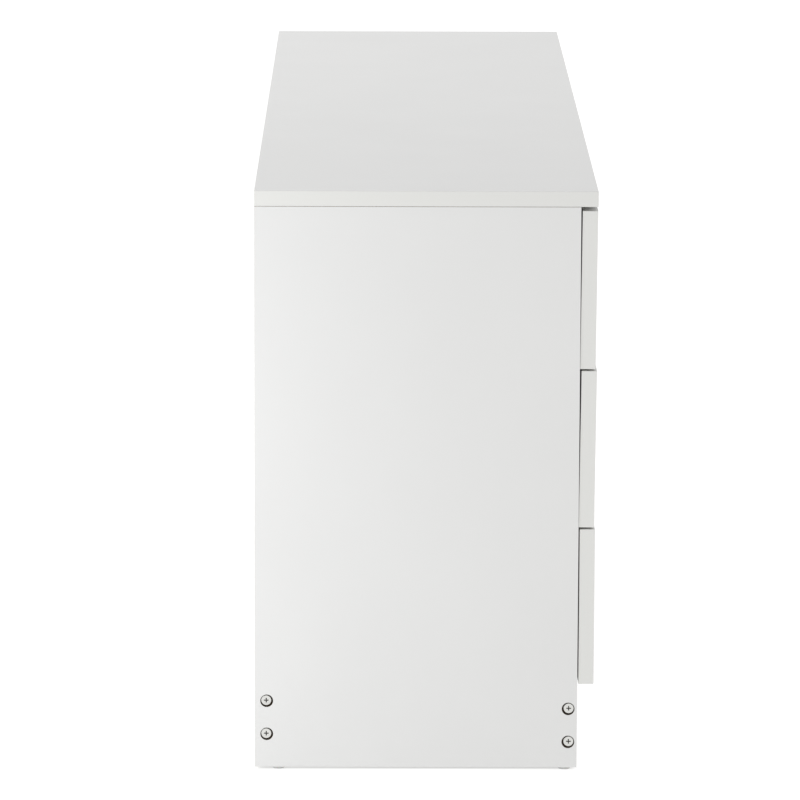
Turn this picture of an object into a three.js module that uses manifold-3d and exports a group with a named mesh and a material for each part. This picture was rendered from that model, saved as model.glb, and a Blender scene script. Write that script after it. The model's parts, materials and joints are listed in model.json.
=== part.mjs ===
// Sideboard buffet: a long cabinet of white 18 mm board with six drawers in two banks of three.
// Millimetres, +Z up. X runs along the length, the drawers open towards -Y, and the origin is
// on the floor under the middle of the cabinet.

import * as THREE from 'three';
import { mergeVertices } from 'three/addons/utils/BufferGeometryUtils.js';
import Module from 'manifold-3d';

const wasm = await Module();
wasm.setup();

// Overall size
const LENGTH = 1600;
const DEPTH = 400;
const HEIGHT = 690;

// Boards
const BOARD = 18;            // top, sides, partition, bottom, plinth, rails and drawer fronts
const DRAWER_BOARD = 12;     // drawer sides and backs
const HARDBOARD = 3;         // cabinet backs and drawer bottoms
const FIT = 0.3;             // clearance between pieces that touch
const GROOVE = 3.6;          // groove width for hardboard
const GROOVE_DEPTH = 6;

// Carcass
const GLIDE_HEIGHT = 3;
const SIDE_DEPTH = 380;
const BACK_INSET = 5.4;      // rear edge of the sides to the back panel
const BASE_HEIGHT = 104;     // floor to the underside of the bottom board
const PLINTH_HEIGHT = 100;
const PLINTH_SETBACK = 1.4;
const RAIL_HEIGHT = 80;
const RAIL_SETBACK = 5.2;

// Drawer fronts
const FRONT_HEIGHT = 186;
const ROW_GAP = 2.5;
const END_REVEAL = 1;        // front's end back from the cabinet's end
const PULL_WIDTH = 120;      // finger pull cut in the top edge
const PULL_DEPTH = 24;

// Drawer boxes
const BOX_LENGTH = 350;
const BOX_HEIGHT = 125;
const BOX_RISE = 31.5;       // front's lower edge to the box's lower edge
const BOTTOM_RISE = 10;      // box's lower edge to the drawer bottom
const BOTTOM_TONGUE = 4.5;   // how far the drawer bottom enters its grooves

// Runners: rolled steel channels on the cabinet sides
const RUNNER_SPACE = 13;     // cabinet side to drawer side
const RUNNER_HEIGHT = 26;
const RUNNER_WIDTH = 10.5;
const RUNNER_STEEL = 1.2;
const RUNNER_LIP = 3;
const RUNNER_RISE = 24;      // front's lower edge to the runner's lower edge
const RUNNER_SETBACK = 2;

// Screws through the side panels into the plinth and the rear rail
const SCREW_SINK = 0.6;      // side's outer face to the top of the head
const HEAD_RADIUS = 6.2;
const HEAD_THICK = 2.7;
const SHANK_RADIUS = 3;
const SCREW_LENGTH = 50;
const RECESS_SPAN = 5.6;
const RECESS_WIDTH = 1.3;
const RECESS_DEPTH = 1.8;
const BORE_RADIUS = 7.5;
const PLINTH_SCREW_HEIGHTS = { lower: 34, upper: 74 };
const RAIL_SCREW_HEIGHTS = { lower: 43, upper: 83 };

// Glides under the side panels
const GLIDE_RADIUS = 7.25;
const GLIDE_REAR_INSET = 28;
const GLIDE_FRONT_INSET = 14.6;
const PIN_RADIUS = 1.25;
const PIN_LENGTH = 12;

// The slot behind each front, at its lower and upper edge: the upper two lean out a little
const ROWS = [
  { name: 'bottom', slotLow: 1.2, slotHigh: 1.3 },
  { name: 'middle', slotLow: 0.2, slotHigh: 1.95 },
  { name: 'top', slotLow: 0.25, slotHigh: 1.7 },
];
const BANKS = [{ name: 'left', hand: -1 }, { name: 'right', hand: 1 }];

// Places that follow from the sizes above
const REAR_Y = DEPTH / 2;
const SIDE_FRONT_Y = REAR_Y - SIDE_DEPTH;
const INNER_X = LENGTH / 2 - BOARD;
const TOP_UNDERSIDE = HEIGHT - BOARD;
const BACK_Y = REAR_Y - BACK_INSET - HARDBOARD;
const PLINTH_Y = SIDE_FRONT_Y + PLINTH_SETBACK;
const RAIL_Y = REAR_Y - RAIL_SETBACK - BOARD;
const BAY_WIDTH = INNER_X - BOARD / 2;
const BOX_WIDTH = BAY_WIDTH - 2 * RUNNER_SPACE;
const BOX_REAR_Y = SIDE_FRONT_Y + BOX_LENGTH;
const SCREW_PLACES = [
  { name: 'front', y: PLINTH_Y + BOARD / 2, heights: PLINTH_SCREW_HEIGHTS },
  { name: 'rear', y: RAIL_Y + BOARD / 2, heights: RAIL_SCREW_HEIGHTS },
];
const GLIDE_PLACES = [
  { name: 'front', y: SIDE_FRONT_Y + GLIDE_FRONT_INSET },
  { name: 'rear', y: REAR_Y - GLIDE_REAR_INSET },
];

const whiteBoard = () => new THREE.MeshStandardMaterial({
  color: 0xe9e9e6, roughness: 0.5, metalness: 0,
});
const hardboard = () => new THREE.MeshStandardMaterial({
  color: 0xdcdad4, roughness: 0.65, metalness: 0,
});
const runnerSteel = () => new THREE.MeshStandardMaterial({
  color: 0xe4e3df, roughness: 0.4, metalness: 0.1,
});
const nickel = () => new THREE.MeshStandardMaterial({
  color: 0xc9c7c2, roughness: 0.25, metalness: 1,
});
const whiteNylon = () => new THREE.MeshStandardMaterial({
  color: 0xd8d8d6, roughness: 0.5, metalness: 0,
});

const sideboard = new THREE.Group();

function add(name, geometry, material) {
  const mesh = new THREE.Mesh(geometry, material);
  mesh.name = name;
  sideboard.add(mesh);
  return mesh;
}

// A box from its lowest to its highest corner
function block([x0, y0, z0], [x1, y1, z1]) {
  const box = new THREE.BoxGeometry(x1 - x0, y1 - y0, z1 - z0);
  return box.translate((x0 + x1) / 2, (y0 + y1) / 2, (z0 + z1) / 2);
}

// A round bar along X, from x0 to x1
function roundBar(radius, x0, x1, y, z, sides = 24) {
  const bar = new THREE.CylinderGeometry(radius, radius, x1 - x0, sides);
  return bar.rotateZ(Math.PI / 2).translate((x0 + x1) / 2, y, z);
}

function toSolid(geometry) {
  const bare = geometry.clone();
  bare.deleteAttribute('normal');
  bare.deleteAttribute('uv');
  const merged = mergeVertices(bare, 1e-4);
  return new wasm.Manifold(new wasm.Mesh({
    numProp: 3,
    vertProperties: new Float32Array(merged.attributes.position.array),
    triVerts: new Uint32Array(merged.index.array),
  }));
}

function toGeometry(solid) {
  const { vertProperties, triVerts } = solid.getMesh();
  const geometry = new THREE.BufferGeometry();
  geometry.setAttribute('position', new THREE.BufferAttribute(vertProperties, 3));
  geometry.setIndex(new THREE.BufferAttribute(triVerts, 1));
  geometry.computeVertexNormals();
  return geometry;
}

function cut(geometry, tools) {
  const solid = tools.reduce((left, tool) => left.subtract(toSolid(tool)), toSolid(geometry));
  return toGeometry(solid);
}

function mirrorX(geometry) {
  const solid = toSolid(geometry).mirror([1, 0, 0]);
  return toGeometry(solid);
}

// Left side panel: a groove for the back, sunk bores for the screws and pin holes for the glides
function sidePanelGeometry() {
  const outer = -LENGTH / 2;
  const inner = -INNER_X;
  const top = TOP_UNDERSIDE - FIT;
  const panel = block([outer, SIDE_FRONT_Y, GLIDE_HEIGHT], [inner, REAR_Y, top]);
  const tools = [
    block([inner - GROOVE_DEPTH, BACK_Y - FIT, 0], [inner + 1, BACK_Y - FIT + GROOVE, HEIGHT]),
  ];
  const seat = outer + SCREW_SINK + HEAD_THICK + FIT;
  for (const { y, heights } of SCREW_PLACES) {
    for (const z of Object.values(heights)) {
      tools.push(roundBar(BORE_RADIUS, outer - 1, seat, y, z, 40));
      tools.push(roundBar(SHANK_RADIUS + FIT, outer, inner + 1, y, z));
    }
  }
  for (const { y } of GLIDE_PLACES) {
    const hole = new THREE.CylinderGeometry(PIN_RADIUS + FIT, PIN_RADIUS + FIT, 2 * PIN_LENGTH, 12);
    hole.rotateX(Math.PI / 2).translate(outer + BOARD / 2, y, GLIDE_HEIGHT + 1);
    tools.push(hole);
  }
  return cut(panel, tools);
}

// A plinth or rail between the side panels, with a screw hole for each height at both ends
function crossBoardGeometry(y, z0, z1, heights) {
  const end = INNER_X - FIT;
  const board = block([-end, y, z0], [end, y + BOARD, z1]);
  const reach = LENGTH / 2 - SCREW_SINK - SCREW_LENGTH - 2 * FIT;
  const tools = [];
  for (const z of Object.values(heights)) {
    tools.push(roundBar(SHANK_RADIUS + FIT, -end - 1, -reach, y + BOARD / 2, z));
    tools.push(roundBar(SHANK_RADIUS + FIT, reach, end + 1, y + BOARD / 2, z));
  }
  return cut(board, tools);
}

function addCarcass() {
  const side = sidePanelGeometry();
  const boardTop = BASE_HEIGHT + BOARD + FIT;
  const underTop = TOP_UNDERSIDE - FIT;
  const underBottom = BASE_HEIGHT - FIT;
  const topPanel = block([-LENGTH / 2, -REAR_Y, TOP_UNDERSIDE], [LENGTH / 2, REAR_Y, HEIGHT]);
  add('top_panel', topPanel, whiteBoard());
  add('side_panel_left', side, whiteBoard());
  add('side_panel_right', mirrorX(side), whiteBoard());
  const bottomLow = [FIT - INNER_X, SIDE_FRONT_Y, BASE_HEIGHT];
  const bottomHigh = [INNER_X - FIT, BACK_Y - FIT, BASE_HEIGHT + BOARD];
  add('bottom_panel', block(bottomLow, bottomHigh), whiteBoard());
  const half = BOARD / 2;
  const partition = block([-half, SIDE_FRONT_Y, boardTop], [half, BACK_Y - FIT, underTop]);
  add('centre_partition', partition, whiteBoard());
  const plinthZ = BASE_HEIGHT - PLINTH_HEIGHT;
  const plinth = crossBoardGeometry(PLINTH_Y, plinthZ, underBottom, PLINTH_SCREW_HEIGHTS);
  add('plinth_front', plinth, whiteBoard());
  const railZ = BASE_HEIGHT - RAIL_HEIGHT;
  const rail = crossBoardGeometry(RAIL_Y, railZ, underBottom, RAIL_SCREW_HEIGHTS);
  add('rear_base_rail', rail, whiteBoard());
  const supportLow = [-half, PLINTH_Y + BOARD + FIT, GLIDE_HEIGHT];
  const supportHigh = [half, RAIL_Y - FIT, underBottom];
  add('centre_support', block(supportLow, supportHigh), whiteBoard());
  for (const { name, hand } of BANKS) {
    const edge = INNER_X + GROOVE_DEPTH - 2 * FIT;
    const [x0, x1] = hand < 0 ? [-edge, -FIT] : [FIT, edge];
    const back = block([x0, BACK_Y, BASE_HEIGHT + FIT], [x1, BACK_Y + HARDBOARD, underTop]);
    add(`back_panel_${name}`, back, hardboard());
  }
}

// Channel-shaped cabinet member of a runner. side is 1 where it opens towards +X
function runnerGeometry(side) {
  const shape = new THREE.Shape();
  const inner = RUNNER_WIDTH - RUNNER_STEEL;
  const ceiling = RUNNER_HEIGHT - RUNNER_STEEL;
  shape.moveTo(0, 0);
  shape.lineTo(RUNNER_WIDTH, 0);
  shape.lineTo(RUNNER_WIDTH, RUNNER_LIP);
  shape.lineTo(inner, RUNNER_LIP);
  shape.lineTo(inner, RUNNER_STEEL);
  shape.lineTo(RUNNER_STEEL, RUNNER_STEEL);
  shape.lineTo(RUNNER_STEEL, ceiling);
  shape.lineTo(RUNNER_WIDTH, ceiling);
  shape.lineTo(RUNNER_WIDTH, RUNNER_HEIGHT);
  shape.lineTo(0, RUNNER_HEIGHT);
  const depth = BOX_LENGTH - RUNNER_SETBACK;
  const channel = new THREE.ExtrudeGeometry(shape, { depth, bevelEnabled: false });
  channel.rotateX(Math.PI / 2).translate(0, depth, 0);
  return side > 0 ? channel : mirrorX(channel);
}

function addRunners(bank, row, frontZ) {
  const faces = [
    { name: 'outer', x: bank.hand * (INNER_X - FIT), side: -bank.hand },
    { name: 'inner', x: bank.hand * (BOARD / 2 + FIT), side: bank.hand },
  ];
  for (const { name, x, side } of faces) {
    const mesh = add(`runner_${bank.name}_${row.name}_${name}`, runnerGeometry(side), runnerSteel());
    mesh.position.set(x, SIDE_FRONT_Y + RUNNER_SETBACK, frontZ + RUNNER_RISE);
  }
}

// Front board, centred on X, with its lower rear edge on the X axis. The drawer's middle is at boxX
function frontGeometry(width, boxX) {
  const half = width / 2;
  const pull = PULL_WIDTH / 2 - PULL_DEPTH;
  const shape = new THREE.Shape();
  shape.moveTo(-half, 0);
  shape.lineTo(half, 0);
  shape.lineTo(half, FRONT_HEIGHT);
  shape.absarc(pull, FRONT_HEIGHT, PULL_DEPTH, 0, -Math.PI / 2, true);
  shape.absarc(-pull, FRONT_HEIGHT, PULL_DEPTH, -Math.PI / 2, -Math.PI, true);
  shape.lineTo(-half, FRONT_HEIGHT);
  const options = { depth: BOARD, bevelEnabled: false, curveSegments: 10 };
  const board = new THREE.ExtrudeGeometry(shape, options);
  board.rotateX(Math.PI / 2);
  const reach = BOX_WIDTH / 2 - DRAWER_BOARD + BOTTOM_TONGUE + FIT;
  const z = BOX_RISE + BOTTOM_RISE - FIT;
  return cut(board, [block([boxX - reach, -GROOVE_DEPTH, z], [boxX + reach, 1, z + GROOVE])]);
}

// Drawer side, centred on X, with a groove for the bottom in the face towards inward
function boxSideGeometry(inward) {
  const half = DRAWER_BOARD / 2;
  const board = block([-half, SIDE_FRONT_Y, 0], [half, BOX_REAR_Y, BOX_HEIGHT]);
  const depth = BOTTOM_TONGUE + FIT;
  const [x0, x1] = inward > 0 ? [half - depth, half + 1] : [-half - 1, depth - half];
  const z = BOTTOM_RISE - FIT;
  const groove = block([x0, SIDE_FRONT_Y - 1, z], [x1, BOX_REAR_Y + 1, z + GROOVE]);
  return cut(board, [groove]);
}

function addDrawer(bank, row, frontZ) {
  const name = `drawer_${bank.name}_${row.name}`;
  const width = (LENGTH - 2 * END_REVEAL - ROW_GAP) / 2;
  const frontX = bank.hand * (ROW_GAP + width) / 2;
  const middle = bank.hand * (BOARD + BAY_WIDTH) / 2;
  const front = add(`${name}_front`, frontGeometry(width, middle - frontX), whiteBoard());
  front.position.set(frontX, SIDE_FRONT_Y - row.slotLow, frontZ);
  front.rotation.x = Math.atan((row.slotHigh - row.slotLow) / FRONT_HEIGHT);

  const boxZ = frontZ + BOX_RISE;
  for (const hand of [-1, 1]) {
    const side = hand < 0 ? 'left' : 'right';
    const mesh = add(`${name}_side_${side}`, boxSideGeometry(-hand), whiteBoard());
    mesh.position.set(middle + hand * (BOX_WIDTH - DRAWER_BOARD) / 2, 0, boxZ);
  }
  const inside = BOX_WIDTH / 2 - DRAWER_BOARD;
  const backLow = [FIT - inside, BOX_REAR_Y - DRAWER_BOARD, BOTTOM_RISE + HARDBOARD + FIT];
  const back = add(`${name}_back`, block(backLow, [inside - FIT, BOX_REAR_Y, BOX_HEIGHT]), whiteBoard());
  back.position.set(middle, 0, boxZ);
  const reach = inside + BOTTOM_TONGUE;
  const bottomLow = [-reach, SIDE_FRONT_Y - BOTTOM_TONGUE, BOTTOM_RISE];
  const bottomHigh = [reach, BOX_REAR_Y, BOTTOM_RISE + HARDBOARD];
  const bottom = add(`${name}_bottom`, block(bottomLow, bottomHigh), hardboard());
  bottom.position.set(middle, 0, boxZ);
}

// Cross-head screw along +X, with the top of its head at x = 0
function screwGeometry() {
  const outline = [
    [0, 0], [HEAD_RADIUS - 2, 0.1], [HEAD_RADIUS - 0.7, 0.5], [HEAD_RADIUS, 1.3],
    [HEAD_RADIUS, HEAD_THICK], [SHANK_RADIUS, HEAD_THICK],
    [SHANK_RADIUS, SCREW_LENGTH - SHANK_RADIUS], [0, SCREW_LENGTH],
  ].map(([radius, along]) => new THREE.Vector2(radius, -along));
  const body = new THREE.LatheGeometry(outline.reverse(), 32).rotateZ(Math.PI / 2);
  const long = RECESS_SPAN / 2;
  const half = RECESS_WIDTH / 2;
  return cut(body, [
    block([-1, -long, -half], [RECESS_DEPTH, long, half]),
    block([-1, -half, -long], [RECESS_DEPTH, half, long]),
  ]);
}

function addScrews() {
  const screw = screwGeometry();
  for (const { name, y, heights } of SCREW_PLACES) {
    for (const [level, z] of Object.entries(heights)) {
      const mesh = add(`screw_left_${name}_${level}`, screw, nickel());
      mesh.position.set(SCREW_SINK - LENGTH / 2, y, z);
    }
  }
}

// Domed glide standing on the floor, with a pin that is driven into the panel above it
function glideGeometry() {
  const seat = GLIDE_HEIGHT - FIT;
  const outline = [
    [0, 0], [3.5, 0], [5.6, 0.5], [6.8, 1.3], [GLIDE_RADIUS, 2.2], [GLIDE_RADIUS, seat],
    [PIN_RADIUS, seat], [PIN_RADIUS, PIN_LENGTH - 1], [0, PIN_LENGTH],
  ].map(([radius, z]) => new THREE.Vector2(radius, z));
  return new THREE.LatheGeometry(outline, 24).rotateX(Math.PI / 2);
}

function addGlides() {
  const glide = glideGeometry();
  for (const bank of BANKS) {
    for (const { name, y } of GLIDE_PLACES) {
      const mesh = add(`glide_${bank.name}_${name}`, glide, whiteNylon());
      mesh.position.set(bank.hand * (LENGTH - BOARD) / 2, y, 0);
    }
  }
}

addCarcass();
addScrews();
addGlides();
for (const bank of BANKS) {
  ROWS.forEach((row, level) => {
    const frontZ = BASE_HEIGHT + level * (FRONT_HEIGHT + ROW_GAP);
    addRunners(bank, row, frontZ);
    addDrawer(bank, row, frontZ);
  });
}

export default sideboard;
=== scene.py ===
# %% [markdown]
# A long white sideboard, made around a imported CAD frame.
# Everything is in metres. X runs along the cabinet, the drawers open towards -Y, and Z is up.
# The frame holds the sizes and the joints. This script makes what is seen: boards with banded
# edges, steel runners, rollers, screws and glides, each finished with a procedural material.

# %% Load the frame
import json
import math

import bpy
from mathutils import Matrix, Vector

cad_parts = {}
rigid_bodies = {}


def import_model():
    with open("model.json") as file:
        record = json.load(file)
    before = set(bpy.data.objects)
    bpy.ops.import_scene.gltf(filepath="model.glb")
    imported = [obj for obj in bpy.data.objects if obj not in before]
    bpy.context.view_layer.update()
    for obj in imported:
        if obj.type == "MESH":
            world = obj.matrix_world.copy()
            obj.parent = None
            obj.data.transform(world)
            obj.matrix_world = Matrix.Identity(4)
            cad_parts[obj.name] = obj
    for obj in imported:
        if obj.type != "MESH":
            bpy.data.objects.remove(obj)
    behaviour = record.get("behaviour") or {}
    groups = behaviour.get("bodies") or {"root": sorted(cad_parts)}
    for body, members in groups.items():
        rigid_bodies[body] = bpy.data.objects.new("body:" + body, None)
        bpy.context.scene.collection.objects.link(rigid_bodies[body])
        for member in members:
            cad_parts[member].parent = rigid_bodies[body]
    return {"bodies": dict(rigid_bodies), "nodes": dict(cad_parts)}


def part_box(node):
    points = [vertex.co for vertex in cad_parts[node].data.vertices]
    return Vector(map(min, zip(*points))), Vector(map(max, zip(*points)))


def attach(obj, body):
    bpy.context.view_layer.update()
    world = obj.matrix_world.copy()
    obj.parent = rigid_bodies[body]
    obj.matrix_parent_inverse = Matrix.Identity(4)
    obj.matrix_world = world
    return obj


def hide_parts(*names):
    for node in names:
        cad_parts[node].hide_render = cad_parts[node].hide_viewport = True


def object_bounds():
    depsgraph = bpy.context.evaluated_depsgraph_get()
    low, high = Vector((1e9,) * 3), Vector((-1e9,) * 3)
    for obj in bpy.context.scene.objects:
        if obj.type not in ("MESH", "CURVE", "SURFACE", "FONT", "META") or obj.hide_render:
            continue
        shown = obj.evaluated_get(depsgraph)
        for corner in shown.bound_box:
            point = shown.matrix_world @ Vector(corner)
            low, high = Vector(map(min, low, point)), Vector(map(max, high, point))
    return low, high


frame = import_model()
cad_low, cad_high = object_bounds()
MM = 0.001

# %% [markdown]
# The camera looks along the cabinet from beyond its left end, from well above the top, through a
# long lens. A long lens far away keeps the end panel almost square and still lets the top board
# narrow towards its far end. It tilts down and isn't shifted, so that other views stay framed.

# %% Camera
DISTANCE = 6.444          # from the left end panel
ASIDE = 0.147             # from the plane of the cabinet's back, towards the front
EYE_HEIGHT = 1.626
TILT, TURN, ROLL = (math.radians(a) for a in (10.395, 0.206, 0.181))
LENS = 252.6

eye = Vector((cad_low.x - DISTANCE, cad_high.y - ASIDE, EYE_HEIGHT))
turned = Matrix.Rotation(-math.pi / 2 - TURN, 4, "Z") @ Matrix.Rotation(math.pi / 2 - TILT, 4, "X")
camera = bpy.data.objects.new("camera", bpy.data.cameras.new("camera"))
camera.matrix_world = Matrix.Translation(eye) @ turned @ Matrix.Rotation(ROLL, 4, "Z")
camera.data.lens = LENS
camera.data.clip_end = 200
bpy.context.scene.collection.objects.link(camera)
bpy.context.scene.camera = camera
print("camera at", [round(v, 3) for v in eye])

# %% [markdown]
# Colours are written as they look on a screen, in hex, and shaders work with linear light, so one
# function turns them. A second function adds a node with its settings and its inputs, where an
# input is a value or another node's output. A third starts a material and gives the piece's own
# coordinates, in metres, so that a pattern's scale is one over a real size.

# %% Colour and node helpers
def srgb(code):
    """Linear RGBA of a colour written as 'rrggbb'."""
    parts = [int(code[i : i + 2], 16) / 255 for i in (0, 2, 4)]
    return (*[p / 12.92 if p <= 0.04045 else ((p + 0.055) / 1.055) ** 2.4 for p in parts], 1)


def add_node(tree, kind, inputs, **settings):
    made = tree.nodes.new(kind)
    for name, value in settings.items():
        setattr(made, name, value)
    for socket, value in inputs.items():
        if isinstance(value, bpy.types.NodeSocket):
            tree.links.new(value, made.inputs[socket])
        else:
            made.inputs[socket].default_value = value
    return made


def new_material(name, **values):
    """A material, its tree, its shader with these values set, and the piece's coordinates."""
    material = bpy.data.materials.new(name)
    material.use_nodes = True
    tree = material.node_tree
    shader = tree.nodes["Principled BSDF"]
    for socket, value in values.items():
        shader.inputs[socket.replace("_", " ")].default_value = value
    place = add_node(tree, "ShaderNodeTexCoord", {}).outputs["Object"]
    return material, tree, shader, place


# sockets of a Mix node that mixes colours: share, first colour, second colour, result
SHARE, FIRST, SECOND, MIXED = 0, 6, 7, 2
print("helpers ready")

# %% [markdown]
# The boards are chipboard faced with white melamine: paper soaked in resin and pressed onto the
# board between hot steel plates with a fine pearl texture. The skin is hard and matt, with a
# faint cloudiness from the paper. The pearl is about 0.6 mm on the real board and is drawn at
# 1.6 mm, because it has to show in a picture of the whole cabinet.

# %% White melamine face
melamine, tree, shader, place = new_material("white melamine face", IOR=1.5)
cloud = add_node(
    tree, "ShaderNodeTexNoise", {"Vector": place, "Scale": 1 / (140 * MM), "Detail": 4}
)
tone = add_node(
    tree,
    "ShaderNodeMix",
    {SHARE: cloud.outputs["Fac"], FIRST: srgb("d9d9d8"), SECOND: srgb("dddddc")},
    data_type="RGBA",
)
tree.links.new(tone.outputs[MIXED], shader.inputs["Base Color"])
pearl = add_node(
    tree, "ShaderNodeTexNoise", {"Vector": place, "Scale": 1 / (1.6 * MM), "Detail": 2}
)
polish = add_node(
    tree, "ShaderNodeMapRange", {"Value": pearl.outputs["Fac"], "To Min": 0.4, "To Max": 0.52}
)
tree.links.new(polish.outputs["Result"], shader.inputs["Roughness"])
bump = add_node(
    tree,
    "ShaderNodeBump",
    {"Height": pearl.outputs["Fac"], "Strength": 0.35, "Distance": 0.04 * MM},
)
tree.links.new(bump.outputs["Normal"], shader.inputs["Normal"])
print("made", melamine.name)

# %% [markdown]
# The visible edges carry a strip of white ABS, 0.8 mm thick, glued on hot and trimmed flush with
# a small radius. It is a little smoother and brighter than the melamine beside it, and it waves
# very slightly where the glue is uneven.

# %% White edge band
edge_band, tree, shader, place = new_material(
    "white ABS edge band", Base_Color=srgb("d9d9d6"), IOR=1.53
)
wave = add_node(
    tree, "ShaderNodeTexNoise", {"Vector": place, "Scale": 1 / (9 * MM), "Detail": 3}
)
polish = add_node(
    tree, "ShaderNodeMapRange", {"Value": wave.outputs["Fac"], "To Min": 0.3, "To Max": 0.42}
)
tree.links.new(polish.outputs["Result"], shader.inputs["Roughness"])
bump = add_node(
    tree,
    "ShaderNodeBump",
    {"Height": wave.outputs["Fac"], "Strength": 0.3, "Distance": 0.08 * MM},
)
tree.links.new(bump.outputs["Normal"], shader.inputs["Normal"])
print("made", edge_band.name)

# %% [markdown]
# Edges that nobody sees are left as sawn: the pressed wood chips show as flat flakes about 2 mm
# across in several browns, with small pits between them. The same surface lines the grooves in the
# drawer sides; the end panels' bores and groove have a much darker version, painted as shade.

# %% Sawn chipboard
chipboard, tree, shader, place = new_material("sawn chipboard", Roughness=0.85, IOR=1.45)
flakes = add_node(
    tree, "ShaderNodeTexVoronoi", {"Vector": place, "Scale": 1 / (2.2 * MM), "Randomness": 1}
)
shade = add_node(tree, "ShaderNodeSeparateColor", {"Color": flakes.outputs["Color"]})
tone = add_node(
    tree,
    "ShaderNodeMix",
    {SHARE: shade.outputs["Red"], FIRST: srgb("8a6a48"), SECOND: srgb("c9aa80")},
    data_type="RGBA",
)
tree.links.new(tone.outputs[MIXED], shader.inputs["Base Color"])
bump = add_node(
    tree,
    "ShaderNodeBump",
    {"Height": flakes.outputs["Distance"], "Strength": 0.6, "Distance": 0.3 * MM},
)
tree.links.new(bump.outputs["Normal"], shader.inputs["Normal"])
print("made", chipboard.name)

# %% [markdown]
# A drill rubs the chips as it cuts them, so the wall of a bore is smoother. Its browns are painted
# far darker than sawn chipboard, as painted shade for the inside of the bore.

# %% Bore chipboard with painted shade
bore_painted_shade, tree, shader, place = new_material("bore chipboard darkened as painted shade", Roughness=0.7, IOR=1.45)
bore_mottle = add_node(
    tree, "ShaderNodeTexNoise", {"Vector": place, "Scale": 1 / (1.5 * MM), "Detail": 5}
)
tone = add_node(
    tree,
    "ShaderNodeMix",
    {SHARE: bore_mottle.outputs["Fac"], FIRST: srgb("1d1712"), SECOND: srgb("55422e")},
    data_type="RGBA",
)
tree.links.new(tone.outputs[MIXED], shader.inputs["Base Color"])
print("made", bore_painted_shade.name)

# %% [markdown]
# The back panels and drawer bottoms are 3 mm hardboard, wood fibre pressed wet on a wire screen.
# One face is painted white at the mill and rolls out almost smooth. The other keeps the print of
# the screen, a small square weave about 1.5 mm apart, in plain brown fibre. Two wave textures
# across each other draw that weave.

# %% White hardboard face
painted_hardboard, tree, shader, place = new_material(
    "white painted hardboard", Base_Color=srgb("e2e1dd"), IOR=1.45
)
fibre = add_node(
    tree, "ShaderNodeTexNoise", {"Vector": place, "Scale": 1 / (3 * MM), "Detail": 5}
)
polish = add_node(
    tree, "ShaderNodeMapRange", {"Value": fibre.outputs["Fac"], "To Min": 0.5, "To Max": 0.68}
)
tree.links.new(polish.outputs["Result"], shader.inputs["Roughness"])
bump = add_node(
    tree,
    "ShaderNodeBump",
    {"Height": fibre.outputs["Fac"], "Strength": 0.4, "Distance": 0.06 * MM},
)
tree.links.new(bump.outputs["Normal"], shader.inputs["Normal"])

# %% Brown hardboard face
raw_hardboard, tree, shader, place = new_material("raw hardboard", Roughness=0.8, IOR=1.45)
fibre = add_node(
    tree, "ShaderNodeTexNoise", {"Vector": place, "Scale": 1 / (6 * MM), "Detail": 8}
)
tone = add_node(
    tree,
    "ShaderNodeMix",
    {SHARE: fibre.outputs["Fac"], FIRST: srgb("7d5c3d"), SECOND: srgb("a98660")},
    data_type="RGBA",
)
tree.links.new(tone.outputs[MIXED], shader.inputs["Base Color"])
SCREEN = 1.5 * MM
wires = [
    add_node(
        tree,
        "ShaderNodeTexWave",
        {"Vector": place, "Scale": 2 * math.pi / SCREEN / 20},
        bands_direction=direction,
    ).outputs["Fac"]
    for direction in ("X", "Z")
]
weave = add_node(tree, "ShaderNodeMath", {0: wires[0], 1: wires[1]}, operation="MULTIPLY")
bump = add_node(
    tree,
    "ShaderNodeBump",
    {"Height": weave.outputs["Value"], "Strength": 0.5, "Distance": 0.15 * MM},
)
tree.links.new(bump.outputs["Normal"], shader.inputs["Normal"])
print("made", painted_hardboard.name, "and", raw_hardboard.name)

# %% [markdown]
# The runners are rolled from 1.2 mm steel strip and coated with white epoxy powder, which melts
# into a smooth skin with the slight swell of orange peel.

# %% Epoxy coated steel
coated_steel, tree, shader, place = new_material(
    "white epoxy coated steel", Base_Color=srgb("e3e2dc"), Roughness=0.32, IOR=1.55
)
peel = add_node(
    tree, "ShaderNodeTexNoise", {"Vector": place, "Scale": 1 / (2.5 * MM), "Detail": 1}
)
bump = add_node(
    tree,
    "ShaderNodeBump",
    {"Height": peel.outputs["Fac"], "Strength": 0.35, "Distance": 0.05 * MM},
)
tree.links.new(bump.outputs["Normal"], shader.inputs["Normal"])
print("made", coated_steel.name)

# %% [markdown]
# Screws are cold-forged steel, barrel-plated with nickel: bright, slightly warm, and finely
# scuffed from tumbling. Cams are cast in zinc, a duller and bluer grey with a grainy skin.

# %% Nickel and zinc
nickel, tree, shader, place = new_material(
    "nickel plated steel", Base_Color=srgb("d2d2cf"), Metallic=1
)
scuffs = add_node(
    tree, "ShaderNodeTexNoise", {"Vector": place, "Scale": 1 / (0.8 * MM), "Detail": 4}
)
polish = add_node(
    tree, "ShaderNodeMapRange", {"Value": scuffs.outputs["Fac"], "To Min": 0.12, "To Max": 0.3}
)
tree.links.new(polish.outputs["Result"], shader.inputs["Roughness"])

zinc, tree, shader, place = new_material("die-cast zinc", Base_Color=srgb("a9abad"), Metallic=1)
grain = add_node(
    tree, "ShaderNodeTexNoise", {"Vector": place, "Scale": 1 / (0.7 * MM), "Detail": 6}
)
polish = add_node(
    tree, "ShaderNodeMapRange", {"Value": grain.outputs["Fac"], "To Min": 0.35, "To Max": 0.6}
)
tree.links.new(polish.outputs["Result"], shader.inputs["Roughness"])
bump = add_node(
    tree,
    "ShaderNodeBump",
    {"Height": grain.outputs["Fac"], "Strength": 0.4, "Distance": 0.05 * MM},
)
tree.links.new(bump.outputs["Normal"], shader.inputs["Normal"])
print("made", nickel.name, "and", zinc.name)
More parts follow.
